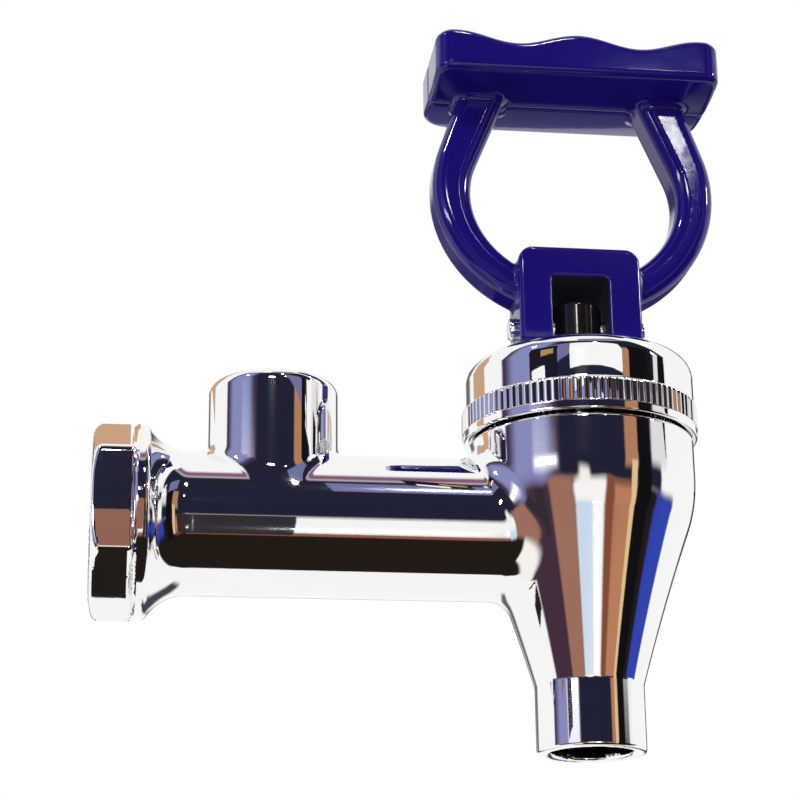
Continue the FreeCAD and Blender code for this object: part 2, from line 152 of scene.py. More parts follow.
# %% Grid to piece
def skin(name, grid, ring=False):
    """Mesh over a grid of points, rows along the outline and columns round it.

    Each quad joins rows i and i + 1 and columns j and j + 1, the last column back to the first. With ring
    the last row joins the first, and without it a fan to the middle of the end row closes each end.
    """
    rows, columns = grid.shape[:2]
    index = np.arange(rows * columns).reshape(rows, columns)
    here = index if ring else index[:-1]
    beyond = np.roll(index, -1, axis=0) if ring else index[1:]
    quads = np.stack([here, np.roll(here, -1, axis=1), np.roll(beyond, -1, axis=1), beyond], axis=-1)
    points = grid.reshape(-1, 3)
    triangles = None
    if not ring:
        poles = np.stack([grid[0].mean(axis=0), grid[-1].mean(axis=0)])
        first, last = index[0], index[-1]
        start = np.stack([np.roll(first, -1), first, np.full(columns, rows * columns)], axis=-1)
        end = np.stack([last, np.roll(last, -1), np.full(columns, rows * columns + 1)], axis=-1)
        points = np.concatenate([points, poles])
        triangles = np.concatenate([start, end])
    return make_piece(name, points, quads.reshape(-1, 4), triangles)


# %% [markdown]
# A turned edge is never a perfect corner: the tool, the polish and the plating leave it round. An
# outline is therefore listed as its corners with a radius each, and the arcs are worked out. Two extra
# points just inside each straight run keep the smooth shading of the arc off the flat beside it.

# %% Outline with rounded corners
ARC_POINTS = 7
SUPPORT = 0.12


def rounded_outline(corners, closed):
    """Points along corners (radius, height, rounding).

    At a corner that turns by an angle t the arc starts rounding * tan(t / 2) before it and ends as far
    after it; its centre lies on the bisector. Where a run is too short the rounding shrinks to fit.
    """
    data = np.array(corners, float)
    spots, count = [], len(data)
    for k in range(count):
        here, rounding = data[k, :2], data[k, 2]
        at_end = not closed and k in (0, count - 1)
        if at_end or rounding == 0:
            spots.append(here[None])
            continue
        back, ahead = data[k - 1, :2] - here, data[(k + 1) % count, :2] - here
        length_back, length_ahead = np.hypot(*back), np.hypot(*ahead)
        back, ahead = back / length_back, ahead / length_ahead
        half = math.acos(np.clip(back @ ahead, -1, 1)) / 2
        reach = min(rounding / math.tan(half), 0.49 * length_back, 0.49 * length_ahead)
        rounding = reach * math.tan(half)
        towards = (back + ahead) / np.hypot(*(back + ahead))
        centre = here + towards * rounding / math.sin(half)
        start, end = here + back * reach - centre, here + ahead * reach - centre
        sweep = math.pi - 2 * half
        share = np.linspace(0, 1, ARC_POINTS)[:, None]
        arc = (np.sin((1 - share) * sweep) * start + np.sin(share * sweep) * end) / math.sin(sweep)
        before = centre + start + back * min(SUPPORT, reach)
        after = centre + end + ahead * min(SUPPORT, reach)
        spots += [before[None], centre + arc, after[None]]
    return np.concatenate(spots)


def turned(name, corners, columns=144, closed=False, ridge=None):
    """Piece turned about an upright axis: radius times cosine, radius times sine, and height."""
    outline = rounded_outline(corners, closed)
    angle = 2 * np.pi * np.arange(columns) / columns
    radius = outline[:, :1] + np.zeros(columns)
    if ridge is not None:
        radius = radius - ridge(outline[:, :1], outline[:, 1:], angle)
    grid = np.stack([AXIS_X + radius * np.cos(angle), radius * np.sin(angle),
                     outline[:, 1:] + np.zeros(columns)], axis=-1)
    return skin(name, grid, ring=closed)


# %% [markdown]
# ## Solids that blend into each other
#
# The casting is a pipe, a boss and a barrel that run into one another with soft fillets, and the handle
# does the same. No grid of two parameters covers such a form without a seam. Here each plain form is a
# field, the distance of a point to its surface, negative inside. Fields combine with a rounded minimum,
# whose fillet is a true arc, and the surface is where the field is zero.

# %% Fields that combine
def joined(a, b, fillet):
    """Union with a fillet: near both surfaces the distance to a circle of that radius in the corner."""
    corner = np.hypot(np.maximum(fillet - a, 0), np.maximum(fillet - b, 0))
    return np.maximum(fillet, np.minimum(a, b)) - corner


def common(a, b, rounding):
    """Overlap of two forms, its outer edge rounded."""
    return -joined(-a, -b, rounding)


def without(a, b, rounding):
    """First form less the second, the edge between them rounded."""
    return common(a, -b, rounding)


def slope_of(field, points, step=0.01):
    """Gradient by central differences, half the difference over a small step each way."""
    parts = []
    for offset in step * np.eye(3):
        parts.append((field(*(points + offset).T) - field(*(points - offset).T)) / (2 * step))
    return np.stack(parts, axis=-1)


def spaced(*stops):
    """Even steps between stops given as (from, to, step), joined end to end."""
    runs = [np.arange(math.ceil((end - start) / step)) / math.ceil((end - start) / step) * (end - start)
            + start for start, end, step in stops]
    return np.append(np.concatenate(runs), stops[-1][1])


# %% [markdown]
# A net is laid over the zero surface. Every cell of a lattice that the surface crosses gets one point,
# the mean of its crossings; every lattice edge that is crossed joins the four cells round it with a quad.
# Then each point slides down the field's gradient onto the true surface, and the gradient there is the
# exact normal, which mirror-bright metal needs: without it, every quad would show in the reflections.

# %% Net over a field
def netted(name, field, axes, slides=4):
    """Piece over the zero surface of a field, on a lattice whose steps may differ along each axis."""
    value = field(*np.meshgrid(*axes, indexing="ij"))
    shape = np.array(value.shape)
    cells = shape - 1
    sums = np.zeros((3, cells.prod()))
    hits = np.zeros(cells.prod())
    found = []
    for axis in range(3):
        near = [slice(None)] * 3
        far = [slice(None)] * 3
        near[axis], far[axis] = slice(0, -1), slice(1, None)
        a, b = value[tuple(near)], value[tuple(far)]
        place = np.array(np.nonzero((a < 0) != (b < 0)))
        a, b = a[tuple(place)], b[tuple(place)]
        spot = np.stack([axes[k][place[k]] for k in range(3)])
        spot[axis] += (axes[axis][place[axis] + 1] - axes[axis][place[axis]]) * a / (a - b)
        side, up = (axis + 1) % 3, (axis + 2) % 3
        around = []
        for back_side, back_up in ((1, 1), (0, 1), (0, 0), (1, 0)):
            cell = place.copy()
            cell[side] -= back_side
            cell[up] -= back_up
            around.append(np.ravel_multi_index(tuple(cell), tuple(cells)))
        around = np.stack(around, axis=-1)
        around[a > 0] = around[a > 0][:, ::-1]
        found.append(around)
        flat = around.ravel()
        hits += np.bincount(flat, minlength=len(hits))
        for k in range(3):
            sums[k] += np.bincount(flat, weights=np.repeat(spot[k], 4), minlength=len(hits))
    used = hits > 0
    number = np.cumsum(used) - 1
    points = (sums[:, used] / hits[used]).T
    for _ in range(slides):
        gradient = slope_of(field, points)
        steep = np.maximum((gradient ** 2).sum(axis=1), 0.05)
        points = points - gradient * (field(*points.T) / steep)[:, None]
    gradient = slope_of(field, points)
    normals = gradient / np.maximum(np.linalg.norm(gradient, axis=1), 1e-9)[:, None]
    return make_piece(name, points, number[np.concatenate(found)], normals=normals)


# %% [markdown]
# ## The cast body
#
# On the real tap the body is one brass casting, machined at its threads, polished and chromed. Its field
# is built as a designer would describe it: a pipe with a hollow neck behind the inlet hexagon, a boss
# standing on the pipe, and a barrel that narrows to the spout. Then the waterways are taken away.

# %% Sizes of the body
PIPE_R = 11.0
BORE_R = 7.5
HEX_HALF = 13.5
HEX_END_X = 5.3
FLANGE_R = 14.8
FLANGE_END_X = 7.3
NECK_FILLET = 7.0
CAST_EDGE = 0.5
BOSS_X = 26.3
BOSS_R = 10.0
BOSS_TOP = 22.4
BOSS_ROUNDING = 2.0
BOSS_FILLET = 1.0
BARREL_R = 17.6
BARREL_TOP = 14.0
SHOULDER_Z = 8.0
SHOULDER_ARC = 25.0
CONE_ANGLE = math.radians(18.3)
CONE_WAIST = 0.25
COLLAR_R = 8.3
COLLAR_TOP = -24.2
OUTLET_R = 6.1
NUT_THREAD_R = 15.6
JUNCTION = 2.2
MOUTH_X = body_low[0]
OUTLET_Z = body_low[2]
LEDGE_Z = cup_high[2] - 1.5


# %% [markdown]
# Subdivision modelling could give this form too, but its fillets would be guesses. With distances each
# fillet has a radius in millimetres, as on the drawing, and can change without moving anything else.

# %% The body's outside
def hexagon(x, y, z):
    """Overlap of three slabs at 60 degrees, its mouth cut by a 30 degree cone, corners pointing up."""
    prism = None
    for turn in (30, 90, 150):
        slab = np.abs(y * math.sin(math.radians(turn)) + z * math.cos(math.radians(turn))) - HEX_HALF
        prism = slab if prism is None else common(prism, slab, CAST_EDGE)
    corner_r = HEX_HALF / math.cos(math.pi / 6)
    cone = (np.hypot(y, z) - corner_r - (x - MOUTH_X - 1.0) * math.sqrt(3)) / 2
    blank = common(common(prism, cone, CAST_EDGE), MOUTH_X - x, CAST_EDGE)
    return common(blank, x - HEX_END_X, CAST_EDGE)


def neck_and_pipe(x, y, z):
    """Distance to the pipe; left of the neck's centre, the distance outside a circle that hollows it."""
    rho = np.hypot(y, z)
    drop = PIPE_R + NECK_FILLET - FLANGE_R
    centre_x = FLANGE_END_X + math.sqrt(NECK_FILLET ** 2 - drop ** 2)
    hollow = NECK_FILLET - np.hypot(x - centre_x, rho - PIPE_R - NECK_FILLET)
    side = np.where(x < centre_x, hollow, rho - PIPE_R)
    turned_side = common(side, rho - FLANGE_R, CAST_EDGE)
    left = np.where(rho < HEX_HALF - 1, MOUTH_X - x, HEX_END_X - x)
    return common(np.maximum(turned_side, x - AXIS_X), left, CAST_EDGE)


def barrel_radius(z):
    """Cylinder, then a shoulder arc, then a cone with a slight hollow, then the spout's collar."""
    cone_r = BARREL_R - SHOULDER_ARC * (1 - math.cos(CONE_ANGLE))
    cone_z = SHOULDER_Z - SHOULDER_ARC * math.sin(CONE_ANGLE)
    below = np.clip(SHOULDER_Z - z, 0, SHOULDER_ARC * math.sin(CONE_ANGLE))
    shoulder = BARREL_R - SHOULDER_ARC + np.sqrt(SHOULDER_ARC ** 2 - below ** 2)
    share = np.clip((cone_z - z) / (cone_z - COLLAR_TOP), 0, 1)
    cone = cone_r + (COLLAR_R - cone_r) * share - 4 * CONE_WAIST * share * (1 - share)
    return np.where(z > cone_z, shoulder, cone)


def barrel(x, y, z):
    """Distance from the axis less the radius at that height, scaled by the cosine of the side's slope."""
    rho = np.hypot(x - AXIS_X, y)
    step = 0.05
    lean = (barrel_radius(z + step) - barrel_radius(z - step)) / (2 * step)
    side = (rho - barrel_radius(z)) / np.hypot(1, lean)
    side = common(common(side, z - BARREL_TOP, CAST_EDGE), OUTLET_Z - z, CAST_EDGE)
    neck = common(np.maximum(rho - NUT_THREAD_R, BARREL_TOP - 1 - z), z - LEDGE_Z, CAST_EDGE)
    return np.minimum(side, neck)


# %% [markdown]
# The waterways matter to the eye as well: the camera looks up into the spout, other views look into the
# inlet and down into the gauge boss. Where the holes are threaded the body is bored out to the thread's
# root, and a separate threaded surface is added below.

# %% The waterways
INLET_MINOR = 9.315
INLET_MAJOR = 10.48
INLET_DEPTH = 10.0
GAUGE_MINOR = 5.72
GAUGE_MAJOR = 6.58
GAUGE_DEPTH = 12.9
GAUGE_DRILL = 4.5
CHAMBER_R = 13.9
CHAMBER_FLOOR = -6.0
SEAT_OUTER = 8.2
SEAT_Z = cup_low[2]


def waterways(x, y, z):
    """Bores along the pipe and down the boss, and the chamber under the bonnet with its raised seat."""
    pipe_rho = np.hypot(y, z)
    inlet_r = np.interp(x, [MOUTH_X, 0, INLET_DEPTH, INLET_DEPTH + 3],
                        [INLET_MAJOR + 0.6, INLET_MAJOR, INLET_MAJOR, BORE_R])
    inlet = common((pipe_rho - inlet_r) * 0.8, x - AXIS_X + 9, 0.3)
    boss_rho = np.hypot(x - BOSS_X, y)
    gauge_r = np.interp(z, [BOSS_TOP - GAUGE_DEPTH - 2, BOSS_TOP - GAUGE_DEPTH, BOSS_TOP - 0.5, BOSS_TOP],
                        [GAUGE_DRILL, GAUGE_MAJOR, GAUGE_MAJOR, GAUGE_MAJOR + 0.5])
    gauge = np.maximum((boss_rho - gauge_r) * 0.8, -z)
    rho = np.hypot(x - AXIS_X, y)
    chamber_r = np.interp(z, [CHAMBER_FLOOR, 1.0], [11.0, CHAMBER_R])
    chamber = common(rho - chamber_r, CHAMBER_FLOOR - z, 0.4)
    seat = common(rho - SEAT_OUTER, z - SEAT_Z, 0.4)
    chamber = np.maximum(chamber, -seat)
    outlet_r = OUTLET_R + 0.5 * np.clip(1 - (z - OUTLET_Z) / 0.5, 0, 1)
    outlet = np.maximum(rho - outlet_r, z - 1)
    hollow = np.minimum(np.minimum(inlet, gauge), chamber)
    return joined(hollow, outlet, 0.3)


def casting(x, y, z):
    """Pipe with hexagon, joined to the boss and the barrel, less the waterways."""
    pipe = joined(hexagon(x, y, z), neck_and_pipe(x, y, z), 0.3)
    boss = common(np.maximum(np.hypot(x - BOSS_X, y) - BOSS_R, -z), z - BOSS_TOP, BOSS_ROUNDING)
    outside = joined(joined(pipe, boss, BOSS_FILLET), barrel(x, y, z), JUNCTION)
    return without(outside, waterways(x, y, z), 0.35)


# %% [markdown]
# The lattice is finer where the form has edges and fillets, and coarser along the plain run of the pipe.
# It reaches a margin past the solid's box, so that the surface never leaves it.

# %% Make the body
FINE = 0.5
PLAIN = 1.0
MARGIN = 1.2
body = netted("valve_casting", casting, (
    spaced((MOUTH_X - MARGIN, 40.0, FINE), (40.0, 54.0, PLAIN), (54.0, body_high[0] + MARGIN, FINE)),
    spaced((body_low[1] - MARGIN, body_high[1] + MARGIN, FINE)),
    spaced((OUTLET_Z - MARGIN, body_high[2] + MARGIN, FINE))))


# %% [markdown]
# ## Threads
#
# A pipe thread is a ridge wound on a helix. As a surface it is again a grid: the radius depends on how
# far along the axis a point is, less one pitch for each turn. Each thread is a thin sleeve in the bore.

# %% Threaded sleeves
def threaded_sleeve(name, start, depth, pitch, minor, major, place):
    """Sleeve whose inner radius swings between minor and major once a pitch, shifted a pitch a turn."""
    columns = 96
    rows = int(depth / pitch * 12)
    along = np.linspace(0, depth, rows)[:, None]
    angle = 2 * np.pi * np.arange(columns)[None] / columns
    phase = np.mod(along / pitch - angle / (2 * np.pi), 1)
    crest = np.clip(1.5 * np.abs(2 * phase - 1) - 0.25, 0, 1)
    fade = np.clip(np.minimum(along, depth - along) / pitch, 0, 1)
    inner = major - 0.02 - (major - minor) * crest * fade
    outer = np.full((2, columns), major + 0.25)
    radius = np.concatenate([inner, outer])
    reach = start + np.concatenate([along + 0 * angle, np.full((1, columns), depth), np.zeros((1, columns))])
    return skin(name, place(reach, radius, angle), ring=True)


def along_pipe(reach, radius, angle):
    """Points round the pipe's axis, the reach measured from the thread's start."""
    return np.stack([reach, radius * np.cos(angle), radius * np.sin(angle)], axis=-1)


def down_boss(reach, radius, angle):
    """Points round the boss's axis, the reach measured down from its top."""
    return np.stack([BOSS_X + radius * np.cos(angle), radius * np.sin(angle), BOSS_TOP - reach], axis=-1)


inlet_thread = threaded_sleeve("inlet_thread", 0.0, INLET_DEPTH, 1.814,
                               INLET_MINOR, INLET_MAJOR, along_pipe)
gauge_thread = threaded_sleeve("gauge_thread", 0.9, GAUGE_DEPTH - 1, 1.337,
                               GAUGE_MINOR, GAUGE_MAJOR, down_boss)


# %% [markdown]
# ## The bonnet
#
# A domed nut turned from bar, with straight knurling pressed round its rim. The knurl is a wave on the
# radius: a hundred teeth round the rim, so eight columns a tooth catch its peaks and valleys.

# %% Bonnet with its knurl
TEETH = 100
KNURL_DEPTH = 0.35
KNURL_R = (bonnet_high[0] - bonnet_low[0]) / 2
LIP_R = 18.3
LIP_Z = bonnet_low[2]
KNURL_Z = LIP_Z + 1.4
DOME_Z = KNURL_Z + 3.6
DOME_R = 18.0
CROWN_Z = bonnet_high[2]
CROWN_ARC = 70.0
CROWN_FLAT = 8.6
ROOF_Z = bush_low[2]
NUT_BORE = 15.7
CAVITY_R = 12.5


def knurl(radius, height, angle):
    """Depth of the valleys: a triangle wave of the angle, faded out at both rims of the band."""
    wave = np.abs(2 * np.mod(TEETH * angle / (2 * np.pi), 1) - 1)
    band = np.clip(1 - (KNURL_R + 0.02 - radius) / 0.3, 0, 1) * (radius > LIP_R + 0.02)
    inside_band = (height > KNURL_Z - 0.01) & (height < DOME_Z + 0.01)
    return KNURL_DEPTH * wave * band * inside_band


def crown(r):
    """Height of the shallow dome: a large circle that starts at the rim of the crown's flat."""
    return CROWN_Z - math.sqrt(CROWN_ARC ** 2 - CROWN_FLAT ** 2) + math.sqrt(CROWN_ARC ** 2 - r ** 2)


dome_steps = [(CROWN_FLAT + k, crown(CROWN_FLAT + k), 0) for k in range(1, 5)]
bonnet = turned("domed_bonnet", [
    (5.5, CROWN_Z, 0.2), (CROWN_FLAT - 0.3, CROWN_Z, 0.3), *dome_steps, (DOME_R, crown(DOME_R) + 0.1, 6.8),
    (DOME_R, DOME_Z, 0.25), (KNURL_R, DOME_Z, 0.3), (KNURL_R, KNURL_Z, 0.3), (LIP_R, KNURL_Z, 0.15),
    (LIP_R, LIP_Z, 0.3), (NUT_BORE, LIP_Z, 0.3), (NUT_BORE, ring_high[2], 0.2),
    (CAVITY_R, ring_high[2], 0.3), (CAVITY_R, ROOF_Z, 2.0), (5.5, ROOF_Z, 0.2),
], columns=8 * TEETH, closed=True, ridge=knurl)


# %% [markdown]
# ## Stem, bush, ring, washer, cup and pin
#
# These are all turned or moulded round an axis, so each is one outline.

# %% Turned pieces
STEM_R = 4.1
UNDER_WASHER = washer_low[2] - 0.02
COLLAR_LOW = washer_low[2] - 1.8
BUTTON_LOW = stem_low[2]
stem = turned("black_stem", [
    (5.2, BUTTON_LOW, 0.6), (5.2, BUTTON_LOW + 2.4, 0.3), (3.6, BUTTON_LOW + 2.4, 0.3),
    (3.6, COLLAR_LOW, 0.3), (6.5, COLLAR_LOW, 0.3), (6.5, UNDER_WASHER, 0.3), (STEM_R, UNDER_WASHER, 0.2),
    (STEM_R, stem_high[2] - 0.5, 0.5), (STEM_R - 0.8, stem_high[2], 0.5), (1.0, stem_high[2], 0),
])
bush = turned("stem_bush", [
    (STEM_R + 0.05, bush_high[2], 0.15), (8.0, bush_high[2], 0.25), (8.0, CROWN_Z, 0.1),
    (5.45, CROWN_Z, 0.1), (5.45, ROOF_Z, 0.2), (STEM_R + 0.05, ROOF_Z, 0.15),
], closed=True)
clamp = turned("cup_clamp_ring", [
    (12.2, ring_low[2], 0.2), (15.4, ring_low[2], 0.2), (15.4, ring_high[2], 0.2), (12.2, ring_high[2], 0.2),
], closed=True)
washer = turned("steel_washer", [
    (STEM_R + 0.05, washer_low[2], 0.1), (7.0, washer_low[2], 0.15), (7.0, washer_high[2], 0.15),
    (STEM_R + 0.05, washer_high[2], 0.1),
], closed=True)
cup = turned("silicone_cup", [
    (7.7, cup_low[2], 0.6), (8.7, cup_low[2] + 1, 0.6), (8.7, 4.0, 3.0), (11.6, 19.0, 1.0),
    (13.1, LEDGE_Z, 0.4), (15.4, LEDGE_Z, 0.3), (15.4, cup_high[2], 0.3), (11.8, cup_high[2], 0.4),
    (10.3, LEDGE_Z, 1.0),
    (7.4, 4.0, 3.0), (7.4, 1.5, 0.3), (3.7, 1.5, 0.2), (3.7, 0.1, 0.2), (5.3, 0.1, 0.2),
    (5.3, cup_low[2] + 2, 0.5), (1.0, cup_low[2] + 2, 0),
])


def lying(outline, columns, z):
    """Outline of (radius, reach) turned about a level axis through the stem at height z."""
    angle = 2 * np.pi * np.arange(columns) / columns
    radius, reach = outline[:, :1], outline[:, 1:] + np.zeros(columns)
    return np.stack([AXIS_X + reach, radius * np.cos(angle), z + radius * np.sin(angle)], axis=-1)


PIN_HALF = (pin_high[0] - pin_low[0]) / 2
PIN_R = (pin_high[2] - pin_low[2]) / 2
pin_outline = rounded_outline([(0.6, -PIN_HALF, 0), (PIN_R, -PIN_HALF, 0.35), (PIN_R, PIN_HALF, 0.35),
                               (0.6, PIN_HALF, 0)], False)
pin = skin("cross_pin", lying(pin_outline, 64, PIN_Z))


# %% [markdown]
# The spring is round wire on a helix. Its ends are ground flat, which is simply a limit on the height
# of the points: whatever would reach past a seat lies in it.

# %% Spring
def make_spring(turns=6.5, helix_r=6.0, wire_r=0.55):
    """Circle carried along a helix: helix point plus wire radius times (outward, and across) vectors."""
    along = np.linspace(0, 1, int(turns * 48))[:, None]
    round_wire = 2 * np.pi * np.arange(20)[None] / 20
    turn = 2 * np.pi * turns * along
    rise = spring_high[2] - spring_low[2]
    tilt = math.atan2(rise, 2 * math.pi * helix_r * turns)
    out = wire_r * np.cos(round_wire)
    across = wire_r * np.sin(round_wire)
    x = AXIS_X + (helix_r + out) * np.cos(turn) + across * math.sin(tilt) * np.sin(turn)
    y = (helix_r + out) * np.sin(turn) - across * math.sin(tilt) * np.cos(turn)
    z = spring_low[2] + rise * along + across * math.cos(tilt)
    z = np.clip(z, spring_low[2], spring_high[2] - 0.03)
    return skin("closing_spring", np.stack([x, y, z], axis=-1))


spring = make_spring()


# %% [markdown]
# ## The handle
#
# One moulding in glossy plastic: a fork on the pin, an oval loop for the fingers and a palm bar with
# three soft waves on top. It is a field again, because loop, fork and bar melt into each other. The mould
# closed on the handle's middle plane, which left the fine line round the bar.

# %% Sizes of the handle
FORK_HALF = (9.8, 5.0)
FORK_TOP = 45.8
SLOT_HALF = 4.6
SLOT_FRONT_Z = 41.0
SLOT_BACK_Z = 38.0
CAM_RISE = 2.4
LOOP_OUTSIDE = (23.0, 21.65, 56.7, 18.0)
LOOP_HOLE = (16.9, 14.8, 55.5, 10.0)
LOOP_HALF_DEPTH = 4.0
LOOP_ROUNDING = 2.2
BAR_HALF = ((handle_high[0] - handle_low[0]) / 2, (handle_high[1] - handle_low[1]) / 2)
INTO_BAR_Z = 74.5
BAR_LOW = 72.3
BAR_EDGE_Z = 73.5
BAR_TOP = handle_high[2]
BAR_FRONT_CORNER = 2.5
BAR_BACK_CORNER = 6.0
WAVE_PITCH = 20.0
WAVE_DEPTH = 1.9
FOOT_Z = handle_low[2]
PARTING_DEPTH = 0.22
PARTING_HALF = 0.3


# %% [markdown]
# Here u runs across the handle from its middle, y to the back and z up. The loop could be a curve with a
# bevel, but its arms leave the oval along straight lines, which a field states exactly.

# %% Fork, loop and bar
def ellipse(u, w, half_u, half_w):
    """Distance to an ellipse, to first order: k (k - 1) / l, from the point scaled by the half axes."""
    k = np.hypot(u / half_u, w / half_w)
    steep = np.hypot(u / half_u ** 2, w / half_w ** 2)
    return k * (k - 1) / np.maximum(steep, 1e-6)


def cam_foot(y):
    """Height of the foot's lowest edge at a depth y: flat, then the involute that keeps it on the bush."""
    turn = np.linspace(0, TILT_LIMIT, 40)
    reach = PIN_Z - FOOT_Z + CAM_RISE * turn
    depth = reach * np.sin(turn) + CAM_RISE * np.cos(turn)
    height = PIN_Z - (reach * np.cos(turn) - CAM_RISE * np.sin(turn))
    return np.interp(np.abs(y), depth, height)


def fork(u, y, z):
    """Block with rounded shoulders on a cam foot."""
    shoulders = common(np.abs(u) - FORK_HALF[0], z - FORK_TOP, 2.4)
    return common(common(shoulders, np.abs(y) - FORK_HALF[1], 0.6), (cam_foot(y) - z) * 0.9, 0.35)


def slot(u, y, z):
    """Room for the stem: two sides, and a roof that slopes down to the back and shuts out the light."""
    fall = (SLOT_FRONT_Z - SLOT_BACK_Z) / (2 * FORK_HALF[1])
    roof = (z - (SLOT_FRONT_Z + SLOT_BACK_Z) / 2 + fall * y) / math.hypot(1, fall)
    return common(np.abs(u) - SLOT_HALF, roof, 0.8)


def oval_to_bar(u, z, half_u, half_z, centre_z, half_span):
    """Distance to an ellipse whose sides leave it as straight lines and run into the bar.

    A line from the point (half_span, INTO_BAR_Z) touches the ellipse where, in units of its half axes,
    the angle is that of the point less the arc cosine of one over the point's distance.
    """
    w = z - centre_z
    point = np.array([half_span / half_u, (INTO_BAR_Z - centre_z) / half_z])
    angle = math.atan2(point[1], point[0]) - math.acos(1 / np.hypot(*point))
    touch = np.array([half_u * math.cos(angle), half_z * math.sin(angle)])
    along = np.array([half_span, INTO_BAR_Z - centre_z]) - touch
    along = along / np.hypot(*along)
    line = (np.abs(u) - touch[0]) * along[1] - (w - touch[1]) * along[0]
    return np.where(w > touch[1], line, ellipse(u, w, half_u, half_z))


def loop(u, y, z):
    """Oval strap, its arms running up into the bar, with all its long edges rounded."""
    strap = np.maximum(oval_to_bar(u, z, *LOOP_OUTSIDE), -oval_to_bar(u, z, *LOOP_HOLE))
    return np.maximum(common(strap, np.abs(y) - LOOP_HALF_DEPTH, LOOP_ROUNDING), z - INTO_BAR_Z - 1)


def bar(u, y, z):
    """Plan with small corners in front and large ones behind, waves on top and a shallow arc below."""
    corner = np.where(y < 0, BAR_FRONT_CORNER, BAR_BACK_CORNER)
    corner_u = np.abs(u) - BAR_HALF[0] + corner
    corner_y = np.abs(y) - BAR_HALF[1] + corner
    plan = (np.hypot(np.maximum(corner_u, 0), np.maximum(corner_y, 0))
            + np.minimum(np.maximum(corner_u, corner_y), 0) - corner)
    wave = BAR_TOP - WAVE_DEPTH / 2 * (1 - np.cos(2 * np.pi * u / WAVE_PITCH))
    bow_r = (BAR_HALF[1] ** 2 + (BAR_EDGE_Z - BAR_LOW) ** 2) / (2 * (BAR_EDGE_Z - BAR_LOW))
    under = np.hypot(y, z - BAR_LOW - bow_r) - bow_r
    body_of_bar = common(common(plan, z - wave, 1.0), np.where(z < BAR_LOW + bow_r, under, -1), 1.0)
    groove = PARTING_DEPTH * np.exp(-(y / PARTING_HALF) ** 2) * (z < wave - 1.5)
    return body_of_bar + groove


def handle_form(x, y, z):
    """Fork, loop and bar, joined with fillets, less the slot and the pin's hole."""
    u = x - AXIS_X
    grip = joined(loop(u, y, z), bar(u, y, z), 1.2)
    whole = without(joined(grip, fork(u, y, z), 0.6), slot(u, y, z), 0.3)
    pin_hole = np.hypot(y, z - PIN_Z) - PIN_R - 0.01
    return without(whole, pin_hole, 0.15)


HANDLE_STEP = 0.38
handle = netted("blue_handle", handle_form, (
    spaced((handle_low[0] - MARGIN, handle_high[0] + MARGIN, HANDLE_STEP)),
    spaced((handle_low[1] - MARGIN, handle_high[1] + MARGIN, HANDLE_STEP)),
    spaced((handle_low[2] - MARGIN, handle_high[2] + MARGIN, HANDLE_STEP))))


# %% [markdown]
# ## Writing materials as sums
#
# Shader maths is easier to read as a formula than as a web of nodes. `Signal` wraps a socket, and Python's
# own operators add the Math nodes. Any other node comes from `Recipe.node`.

# %% Signals and recipes
class Signal:
    """A socket that can be added to, subtracted from, multiplied, divided and raised to a power."""

    def __init__(self, recipe, socket):
        self.recipe, self.socket = recipe, socket

    def sum_with(self, operation, first, second):
        return self.recipe.node("ShaderNodeMath", {"operation": operation}, {0: first, 1: second})

    def __add__(self, other):
        return self.sum_with("ADD", self, other)

    def __radd__(self, other):
        return self.sum_with("ADD", other, self)

    def __sub__(self, other):
        return self.sum_with("SUBTRACT", self, other)

    def __rsub__(self, other):
        return self.sum_with("SUBTRACT", other, self)

    def __mul__(self, other):
        return self.sum_with("MULTIPLY", self, other)

    def __rmul__(self, other):
        return self.sum_with("MULTIPLY", other, self)

    def __truediv__(self, other):
        return self.sum_with("DIVIDE", self, other)

    def __rtruediv__(self, other):
        return self.sum_with("DIVIDE", other, self)

    def __pow__(self, other):
        return self.sum_with("POWER", self, other)

    def __gt__(self, other):
        return self.sum_with("GREATER_THAN", self, other)

    def __lt__(self, other):
        return self.sum_with("LESS_THAN", self, other)


class Recipe:
    """A node tree that is being written, for a material or for the world."""

    def __init__(self, tree):
        self.tree = tree
        tree.nodes.clear()

    def node(self, kind, settings=None, inputs=None, output=0):
        """Adds a node, sets its settings, fills or links its sockets, and returns one output."""
        made = self.tree.nodes.new(kind)
        for key, value in (settings or {}).items():
            if key == "stops":
                ramp = made.color_ramp.elements
                while len(ramp) < len(value):
                    ramp.new(0.5)
                for stop, (place, colour) in zip(ramp, value):
                    stop.position, stop.color = place, (*colour, 1)
            else:
                setattr(made, key, value)
        for key, value in (inputs or {}).items():
            if isinstance(value, Signal):
                self.tree.links.new(value.socket, made.inputs[key])
            else:
                made.inputs[key].default_value = value
        return Signal(self, made.outputs[output]) if made.outputs else None

    def noise(self, where, scale, detail=2.0, roughness=0.5):
        return self.node("ShaderNodeTexNoise", None,
                         {"Vector": where, "Scale": scale, "Detail": detail, "Roughness": roughness})

    def mixed(self, share, first, second):
        """Colour mix; sockets 6 and 7 of the Mix node are its colours, 2 its colour result."""
        return self.node("ShaderNodeMix", {"data_type": "RGBA"}, {0: share, 6: first, 7: second}, 2)

    def ramp(self, share, stops):
        return self.node("ShaderNodeValToRGB", {"stops": stops}, {"Fac": share})

    def stretched(self, where, scale):
        return self.node("ShaderNodeMapping", None, {"Vector": where, "Scale": scale})

    def bump(self, height, distance, strength=1.0):
        """Distance in millimetres."""
        return self.node("ShaderNodeBump", None,
                         {"Height": height, "Distance": distance * METRES, "Strength": strength})


def new_material(name, describe):
    """Material on Object coordinates; describe gives the shader's sockets."""
    material = bpy.data.materials.new(name)
    material.use_nodes = True
    recipe = Recipe(material.node_tree)
    where = recipe.node("ShaderNodeTexCoord", None, None, "Object")
    shader = recipe.node("ShaderNodeBsdfPrincipled", None, describe(recipe, where))
    recipe.node("ShaderNodeOutputMaterial", None, {"Surface": shader})
    return material


